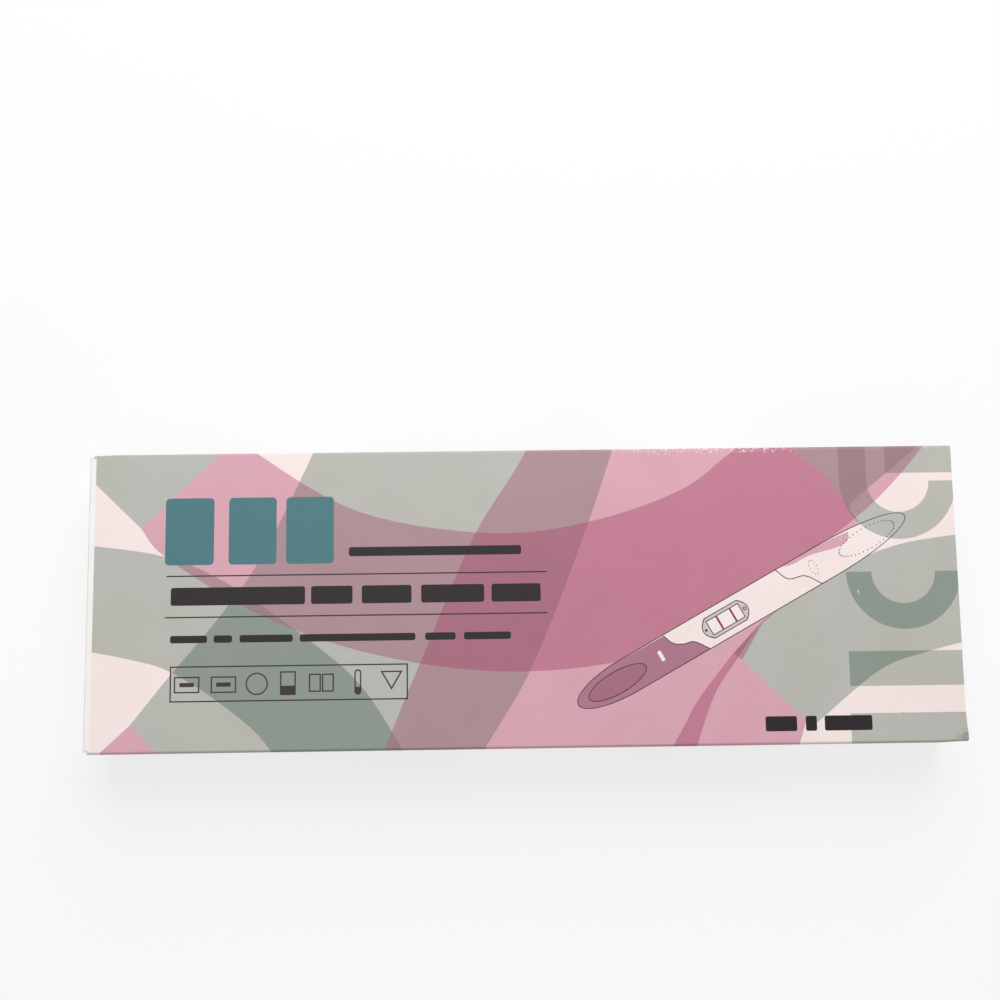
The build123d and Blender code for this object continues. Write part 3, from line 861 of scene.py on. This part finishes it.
# White-lined folding boxboard, printed by offset in two inks under a satin water varnish. To the eye: flat
# fields of colour with sharp edges, a faint screen of dots, a soft sheen, white specks where the folds are
# rubbed with painted glints of the varnish among them, painted shade on the long folds, and painted shade of
# a gap in the right edge
def printedBoard():
    material, tree, shader, inMm = newMaterial("offsetPrintedBoxboard")
    ink = addNode(tree, "VertexColor", layer_name="ink").outputs["Color"]
    # Press mottle, patches of 5 to 20 mm
    mottle = addNode(tree, "TexNoise", {"Scale": 0.09, "Detail": 4.0, "Roughness": 0.6}, {"Vector": inMm})
    mottleRange = addNode(
        tree, "MapRange", {"From Min": 0.3, "From Max": 0.7, "To Min": 0.975, "To Max": 1.025},
        {"Value": mottle.outputs[0]},
    )
    # Screen dots, 0.17 mm apart in the real print, drawn 0.55 mm apart so that they show
    turned = addNode(
        tree, "Mapping", {"Rotation": (0, 0, radians(45)), "Scale": (1.8, 1.8, 1.8)}, {"Vector": inMm},
    )
    dots = addNode(tree, "TexVoronoi", {"Scale": 1.0, "Randomness": 0.0}, {"Vector": turned.outputs[0]})
    dotRange = addNode(
        tree, "MapRange", {"From Min": 0.1, "From Max": 0.65, "To Min": 0.972, "To Max": 1.02},
        {"Value": dots.outputs["Distance"]},
    )
    # Where the two screens beat, slanting bands about 1.1 mm apart in the pink fields
    slant = addNode(tree, "Mapping", {"Rotation": (0, 0, radians(38))}, {"Vector": inMm})
    beat = addNode(
        tree, "TexWave",
        {"Scale": 0.36, "Distortion": 5.0, "Detail": 3.0, "Detail Scale": 1.4, "Detail Roughness": 0.7},
        {"Vector": slant.outputs[0]},
    )
    beatRange = addNode(tree, "MapRange", {"To Min": 0.985, "To Max": 1.01}, {"Value": beat.outputs["Fac"]})
    parts = addNode(tree, "SeparateColor", None, {0: ink})
    redLess = addNode(tree, "Math", None, {0: parts.outputs[0], 1: parts.outputs[1]}, operation="SUBTRACT")
    pinkness = addNode(tree, "MapRange", {"From Min": 0.08, "From Max": 0.34}, {"Value": redLess.outputs[0]})
    beatHere = addNode(
        tree, "Mix", {2: 1.0}, {0: pinkness.outputs[0], 3: beatRange.outputs[0]}, data_type="FLOAT",
    )
    shade = addNode(
        tree, "Math", None, {0: mottleRange.outputs[0], 1: dotRange.outputs[0]}, operation="MULTIPLY",
    )
    shade = addNode(tree, "Math", None, {0: shade.outputs[0], 1: beatHere.outputs[0]}, operation="MULTIPLY")
    coloured = addNode(tree, "VectorMath", None, {0: ink, "Scale": shade.outputs[0]}, operation="SCALE")
    # Slow warm and cool drift of the ink, 20 mm
    drift = addNode(tree, "TexNoise", {"Scale": 0.045, "Detail": 3.0}, {"Vector": inMm})
    driftTone = addNode(
        tree, "Mix", {6: (1.02, 1.0, 0.97, 1), 7: (0.985, 1.0, 1.025, 1)}, {0: drift.outputs[0]},
        data_type="RGBA",
    )
    coloured = addNode(
        tree, "VectorMath", None, {0: coloured.outputs[0], 1: driftTone.outputs[2]}, operation="MULTIPLY",
    )
    # Painted shade: ink a tenth darker on the long folds themselves, where the board turns away from the
    # light
    axes = addNode(tree, "SeparateXYZ", None, {0: inMm})
    absY = addNode(tree, "Math", None, {0: axes.outputs[1]}, operation="ABSOLUTE")
    onFold = addNode(
        tree, "MapRange", {"From Min": 31.75, "From Max": 32.1, "To Min": 1.0, "To Max": 0.9},
        {"Value": absY.outputs[0]},
    )
    foldShaded = addNode(
        tree, "VectorMath", None, {0: coloured.outputs[0], "Scale": onFold.outputs[0]}, operation="SCALE",
    )
    # White specks of 0.3 to 0.6 mm where fine noise is high: rubbed board, and painted glints of the varnish.
    # More of them towards the folds, most along the far fold right of its middle, where they run 5 mm into
    # the panel
    fromGlintAndWearPatch = addNode(tree, "VectorMath", {1: (40, 33, 18)}, {0: inMm}, operation="DISTANCE")
    stretch = addNode(
        tree, "MapRange", {"From Min": 34.0, "From Max": 16.0, "To Min": 0.3, "To Max": 1.0},
        {"Value": fromGlintAndWearPatch.outputs["Value"]},
    )
    nearFold = addNode(
        tree, "MapRange", {"From Min": 24.5, "From Max": 31.6, "To Max": 0.8}, {"Value": absY.outputs[0]},
    )
    crest = addNode(
        tree, "MapRange", {"From Min": 31.1, "From Max": 31.6, "To Max": 0.3}, {"Value": absY.outputs[0]},
    )
    foldGlintAndWear = addNode(tree, "Math", None, {0: nearFold.outputs[0], 1: crest.outputs[0]}, operation="ADD")
    foldGlintAndWear = addNode(
        tree, "Math", None, {0: foldGlintAndWear.outputs[0], 1: stretch.outputs[0]}, operation="MULTIPLY",
    )
    # Marked places, as (place, how much narrower along x, reach in mm): two knocked corners, painted shade of
    # a gap in the right edge, and a scuff
    closeness = []
    knockedAndShadedSpots = (
        ((-94.6, 32.4, 18), 1, 3.6), ((95.2, -32.2, 18), 1, 4.8), ((95.2, 29.7, 18), 5, 2.0),
        ((73, 0.6, 18), 0.7, 1.9),
    )
    for spot, narrow, reach in knockedAndShadedSpots:
        away = addNode(tree, "VectorMath", {1: spot}, {0: inMm}, operation="SUBTRACT")
        away = addNode(tree, "VectorMath", {1: (narrow, 1, 1)}, {0: away.outputs[0]}, operation="MULTIPLY")
        away = addNode(tree, "VectorMath", None, {0: away.outputs[0]}, operation="LENGTH")
        close = addNode(
            tree, "MapRange", {"From Min": reach, "From Max": reach * 0.2}, {"Value": away.outputs["Value"]},
        )
        closeness.append(close.outputs[0])
    specks = addNode(tree, "TexNoise", {"Scale": 1.5, "Detail": 4.0, "Roughness": 0.65}, {"Vector": inMm})
    chipped = addNode(tree, "Math", None, {0: closeness[0], 1: closeness[3]}, operation="ADD")
    glintAndWearHere = addNode(
        tree, "Math", None, {0: foldGlintAndWear.outputs[0], 1: chipped.outputs[0]}, operation="MAXIMUM",
    )
    glintAndRub = addNode(
        tree, "Math", {1: 0.27}, {0: glintAndWearHere.outputs[0], 2: specks.outputs[0]}, operation="MULTIPLY_ADD",
    )
    glintAndRubSpecks = addNode(
        tree, "MapRange", {"From Min": 0.80, "From Max": 0.93, "To Max": 0.7}, {"Value": glintAndRub.outputs[0]},
    )
    # White specks mixed in: rubbed board, and painted glints of the varnish along the folds
    glintedAndWorn = addNode(
        tree, "Mix", {7: toLinear("F6EFEC")}, {0: glintAndRubSpecks.outputs[0], 6: foldShaded.outputs[0]},
        data_type="RGBA",
    )
    # Olive grey flecks of 0.5 mm: soil on the knocked corners, and painted shade of a gap in the right edge
    soilAndShadeHere = addNode(tree, "Math", None, {0: closeness[0], 1: closeness[1]}, operation="MAXIMUM")
    # Painted shade of a gap in the right edge, twice as strong as the soil
    edgeGapShade = addNode(tree, "Math", {1: 2.0}, {0: closeness[2]}, operation="MULTIPLY")
    soilAndShadeHere = addNode(tree, "Math", None, {0: soilAndShadeHere.outputs[0], 1: edgeGapShade.outputs[0]}, operation="MAXIMUM")
    flecks = addNode(tree, "TexNoise", {"Scale": 1.3, "Detail": 4.0, "Roughness": 0.7}, {"Vector": inMm})
    soilAndShade = addNode(
        tree, "Math", {1: 0.32}, {0: soilAndShadeHere.outputs[0], 2: flecks.outputs[0]}, operation="MULTIPLY_ADD",
    )
    soilAndShadeRange = addNode(
        tree, "MapRange", {"From Min": 0.76, "From Max": 0.98, "To Max": 0.9}, {"Value": soilAndShade.outputs[0]},
    )
    soilAndShadeColour = addNode(
        tree, "Mix", {7: toLinear("77735F")}, {0: soilAndShadeRange.outputs[0], 6: glintedAndWorn.outputs[2]},
        data_type="RGBA",
    )
    # A few dust specks, one cell in ten of a 9 mm pattern
    cells = addNode(tree, "TexVoronoi", {"Scale": 0.11}, {"Vector": inMm})
    dust = addNode(
        tree, "MapRange", {"From Min": 0.030, "From Max": 0.018, "To Max": 0.6},
        {"Value": cells.outputs["Distance"]},
    )
    pick = addNode(tree, "SeparateColor", None, {0: cells.outputs["Color"]})
    chosen = addNode(tree, "Math", {1: 0.72}, {0: pick.outputs[0]}, operation="GREATER_THAN")
    dustHere = addNode(tree, "Math", None, {0: dust.outputs[0], 1: chosen.outputs[0]}, operation="MULTIPLY")
    dusty = addNode(
        tree, "Mix", {7: toLinear("7C7672")}, {0: dustHere.outputs[0], 6: soilAndShadeColour.outputs[2]},
        data_type="RGBA",
    )
    tree.links.new(dusty.outputs[2], shader.inputs["Base Color"])
    # Varnish: satin, a little uneven, and duller on the white specks of rubbed board and painted glints
    gloss = addNode(
        tree, "MapRange", {"From Min": 0.3, "From Max": 0.7, "To Min": 0.40, "To Max": 0.48},
        {"Value": mottle.outputs[0]},
    )
    dull = addNode(
        tree, "Math", None, {0: gloss.outputs[0], 1: glintAndRubSpecks.outputs[0]}, operation="ADD",
        use_clamp=True,
    )
    tree.links.new(dull.outputs[0], shader.inputs["Roughness"])
    # Board fibre under the varnish, 0.2 mm, and its slow unevenness, 3 mm
    fibre = addNode(tree, "TexNoise", {"Scale": 4.5, "Detail": 3.0}, {"Vector": inMm})
    slow = addNode(tree, "TexNoise", {"Scale": 0.35, "Detail": 2.0}, {"Vector": inMm})
    bump = addNode(tree, "Bump", {"Strength": 0.35, "Distance": 0.00001}, {"Height": fibre.outputs[0]})
    bump = addNode(
        tree, "Bump", {"Strength": 0.5, "Distance": 0.00008},
        {"Height": slow.outputs[0], "Normal": bump.outputs[0]},
    )
    tree.links.new(bump.outputs[0], shader.inputs["Normal"])
    shader.inputs["IOR"].default_value = 1.48
    return material


def paperFinish(tree, shader, shade, height, look):
    # Colour between two tones by the shade, one roughness, and a bump as deep as the fibres
    tint = addNode(tree, "ValToRGB", None, {0: shade}, look["tones"])
    tree.links.new(tint.outputs[0], shader.inputs["Base Color"])
    shader.inputs["Roughness"].default_value = look["roughness"]
    size = {"Strength": look["strength"], "Distance": look["depth"] * mm}
    bump = addNode(tree, "Bump", size, {"Height": height})
    tree.links.new(bump.outputs[0], shader.inputs["Normal"])


# The same boxboard where nothing is printed: coated white, with a dull sheen and faint fibre
def whiteBoard():
    material, tree, shader, inMm = newMaterial("coatedWhiteBoxboard")
    cloud = addNode(tree, "TexNoise", {"Scale": 0.12, "Detail": 4.0}, {"Vector": inMm})
    fibre = addNode(tree, "TexNoise", {"Scale": 3.5, "Detail": 4.0, "Roughness": 0.7}, {"Vector": inMm})
    both = addNode(tree, "Mix", {0: 0.4}, {2: cloud.outputs[0], 3: fibre.outputs[0]}, data_type="FLOAT")
    look = {"tones": [(0.3, "F4EFEC"), (0.7, "FDFAF8")], "roughness": 0.55, "strength": 0.4, "depth": 0.02}
    paperFinish(tree, shader, both.outputs[0], fibre.outputs[0], look)
    shader.inputs["IOR"].default_value = 1.45
    return material


# The board's uncoated side: mechanical pulp, greyish white and matt, with short darker fibres
def insideBoard():
    material, tree, shader, inMm = newMaterial("uncoatedBoxboardBack")
    drawn = addNode(tree, "Mapping", {"Scale": (0.5, 1.6, 1.6)}, {"Vector": inMm})
    grain = {"Scale": 1.4, "Detail": 6.0, "Roughness": 0.75, "Distortion": 0.6}
    fibre = addNode(tree, "TexNoise", grain, {"Vector": drawn.outputs[0]})
    look = {"tones": [(0.32, "C9C4BB"), (0.66, "E6E2DA")], "roughness": 0.85, "strength": 0.6, "depth": 0.04}
    paperFinish(tree, shader, fibre.outputs[0], fibre.outputs[0], look)
    return material


# Die-cut edge of the board: bare pulp between two white skins, with the knife's fine fray
def rawEdge():
    material, tree, shader, inMm = newMaterial("dieCutBoardEdge")
    fray = addNode(tree, "TexNoise", {"Scale": 5.0, "Detail": 5.0, "Roughness": 0.8}, {"Vector": inMm})
    look = {"tones": [(0.3, "D2CABF"), (0.65, "F1ECE6")], "roughness": 0.9, "strength": 0.7, "depth": 0.03}
    paperFinish(tree, shader, fray.outputs[0], fray.outputs[0], look)
    return material


# Uncoated offset paper, 80 g: matt, a little see-through to the eye as faint clouds
def leafletPaper():
    material, tree, shader, inMm = newMaterial("uncoatedOffsetPaper")
    cloud = addNode(tree, "TexNoise", {"Scale": 0.5, "Detail": 6.0, "Roughness": 0.7}, {"Vector": inMm})
    look = {"tones": [(0.3, "E6E5E0"), (0.7, "F3F2EE")], "roughness": 0.9, "strength": 0.5, "depth": 0.03}
    paperFinish(tree, shader, cloud.outputs[0], cloud.outputs[0], look)
    return material


# Polyester and aluminium foil laminate, heat sealed: bright and slightly milky, with a fine crinkle
def foilLaminate():
    material, tree, shader, inMm = newMaterial("heatSealedFoilLaminate")
    crush = {"Scale": 0.32, "Detail": 5.0, "Roughness": 0.62, "Distortion": 1.2}
    crinkle = addNode(tree, "TexNoise", crush, {"Vector": inMm})
    creases = addNode(tree, "TexVoronoi", {"Scale": 0.16}, {"Vector": inMm}, feature="DISTANCE_TO_EDGE")
    creaseRange = addNode(tree, "MapRange", {"From Max": 0.08}, {"Value": creases.outputs["Distance"]})
    bump = addNode(tree, "Bump", {"Strength": 0.6, "Distance": 0.5 * mm}, {"Height": crinkle.outputs[0]})
    sharp = {"Height": creaseRange.outputs[0], "Normal": bump.outputs[0]}
    bump = addNode(tree, "Bump", {"Strength": 0.35, "Distance": 0.15 * mm}, sharp)
    tree.links.new(bump.outputs[0], shader.inputs["Normal"])
    satin = {"From Min": 0.3, "From Max": 0.7, "To Min": 0.24, "To Max": 0.36}
    rough = addNode(tree, "MapRange", satin, {"Value": crinkle.outputs[0]})
    tree.links.new(rough.outputs[0], shader.inputs["Roughness"])
    tint = addNode(tree, "ValToRGB", None, {0: crinkle.outputs[0]}, [(0, "C4C7CA"), (1, "E2E4E6")])
    tree.links.new(tint.outputs[0], shader.inputs["Base Color"])
    shader.inputs["Metallic"].default_value = 1.0
    return material


# White table top, matt. To the camera and in reflections it is mostly plain white, more so with
# its distance in mm, and it keeps a faint shadow
def tableTop():
    material, tree, shader, inMm = newMaterial("whiteTableTop")
    shader.inputs["Base Color"].default_value = toLinear("F4F4F4")
    shader.inputs["Roughness"].default_value = 0.9
    rays = addNode(tree, "LightPath").outputs
    either = addNode(
        tree, "Math", None, {0: rays["Is Camera Ray"], 1: rays["Is Glossy Ray"]}, operation="MAXIMUM",
    )
    away = addNode(tree, "VectorMath", None, {0: inMm}, operation="LENGTH").outputs["Value"]
    fade = {"From Min": 160, "From Max": 450, "To Min": 0.72, "To Max": 1.0}
    share = addNode(tree, "MapRange", fade, {"Value": away})
    amount = addNode(tree, "Math", None, {0: either.outputs[0], 1: share.outputs[0]}, operation="MULTIPLY")
    glow = addNode(tree, "Emission", {"Color": (1, 1, 1, 1), "Strength": 1.0})
    mixed = addNode(tree, "MixShader", None, {0: amount.outputs[0], 1: shader.outputs[0], 2: glow.outputs[0]})
    output = next(node for node in tree.nodes if node.type == "OUTPUT_MATERIAL")
    tree.links.new(mixed.outputs[0], output.inputs["Surface"])
    return material


print("materials")
printed, white, inside, edge = printedBoard(), whiteBoard(), insideBoard(), rawEdge()
foil, paper = foilLaminate(), leafletPaper()

sleeve = makeCarton([printed, inside, edge])
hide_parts("carton_sleeve")
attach(sleeve, "carton")

for side, end in (("left", -1), ("right", 1)):
    flap = makeTuckFlap(side + "TuckFlap", end, [white, inside, edge])
    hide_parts(side + "_tuck_flap")
    for piece in (flap, makeBead(side + "FoldBead", end, white)):
        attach(piece, side + "_flap")
    crease = makeCrease(side + "Crease", end, [white, inside, edge])
    x, z = hinge(end)
    drop = end * tuck["hingeDrop"]
    start, finish = (x * mm, 0, (z - drop) * mm), ((x + drop) * mm, 0, z * mm)
    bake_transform(crease)
    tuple(start)
    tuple(finish)
print("tuck flaps")

foilPouch = makePouch([foil, foil, foil])
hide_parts("foil_pouch")
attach(foilPouch, "carton")

sheet = makeLeaflet([paper, paper, paper])
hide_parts("instruction_leaflet")
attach(sheet, "carton")
print("pouch and leaflet")

# Floor, light and camera, in metres and watts, and the camera's place in millimetres
studio = {
    "floorHalf": 1.6, "floorHeight": -0.00005, "daylight": 0.31,
    "lamps": {"keyLamp": ((0.06, 0.45, 0.46), 0.6, 3.8), "fillLamp": ((-0.22, -0.22, 0.70), 0.7, 1.15)},
    "cameraPlace": (-9.52, -19.75, 317.1), "cameraTurn": (7.847, -0.743, -0.806), "halfAngle": 20,
}
f, level = studio["floorHalf"], studio["floorHeight"]
floorMesh = bpy.data.meshes.new("floor")
floorMesh.from_pydata([(-f, -f, level), (f, -f, level), (f, f, level), (-f, f, level)], [], [(0, 1, 2, 3)])
floorMesh.materials.append(tableTop())
floor = bpy.data.objects.new("floor", floorMesh)
bpy.context.scene.collection.objects.link(floor)

world = bpy.data.worlds.new("studio")
world.use_nodes = True
sky = world.node_tree
sky.nodes.clear()
rays = addNode(sky, "LightPath")
soft = addNode(sky, "Background", {"Color": (1, 1, 1, 1), "Strength": studio["daylight"]})
backdrop = addNode(sky, "Background", {"Color": (1, 1, 1, 1), "Strength": 1.0})
parts = {0: rays.outputs["Is Camera Ray"], 1: soft.outputs[0], 2: backdrop.outputs[0]}
mixed = addNode(sky, "MixShader", None, parts)
addNode(sky, "OutputWorld", None, {"Surface": mixed.outputs[0]})
bpy.context.scene.world = world

for name, (place, size, power) in studio["lamps"].items():
    lamp = bpy.data.lights.new(name, "AREA")
    lamp.energy = power
    lamp.size = size
    holder = bpy.data.objects.new(name, lamp)
    holder.location = place
    holder.rotation_euler = (-Vector(place)).to_track_quat("-Z", "Y").to_euler()
    bpy.context.scene.collection.objects.link(holder)

lens = bpy.data.cameras.new("camera")
lens.sensor_width = 36
lens.lens = lens.sensor_width / 2 / tan(radians(studio["halfAngle"]))
camera = bpy.data.objects.new("camera", lens)
camera.location = Vector(studio["cameraPlace"]) * mm
camera.rotation_euler = [radians(a) for a in studio["cameraTurn"]]
bpy.context.scene.collection.objects.link(camera)
bpy.context.scene.camera = camera
bpy.context.scene.view_settings.view_transform = "Standard"
print("floor, light and camera")
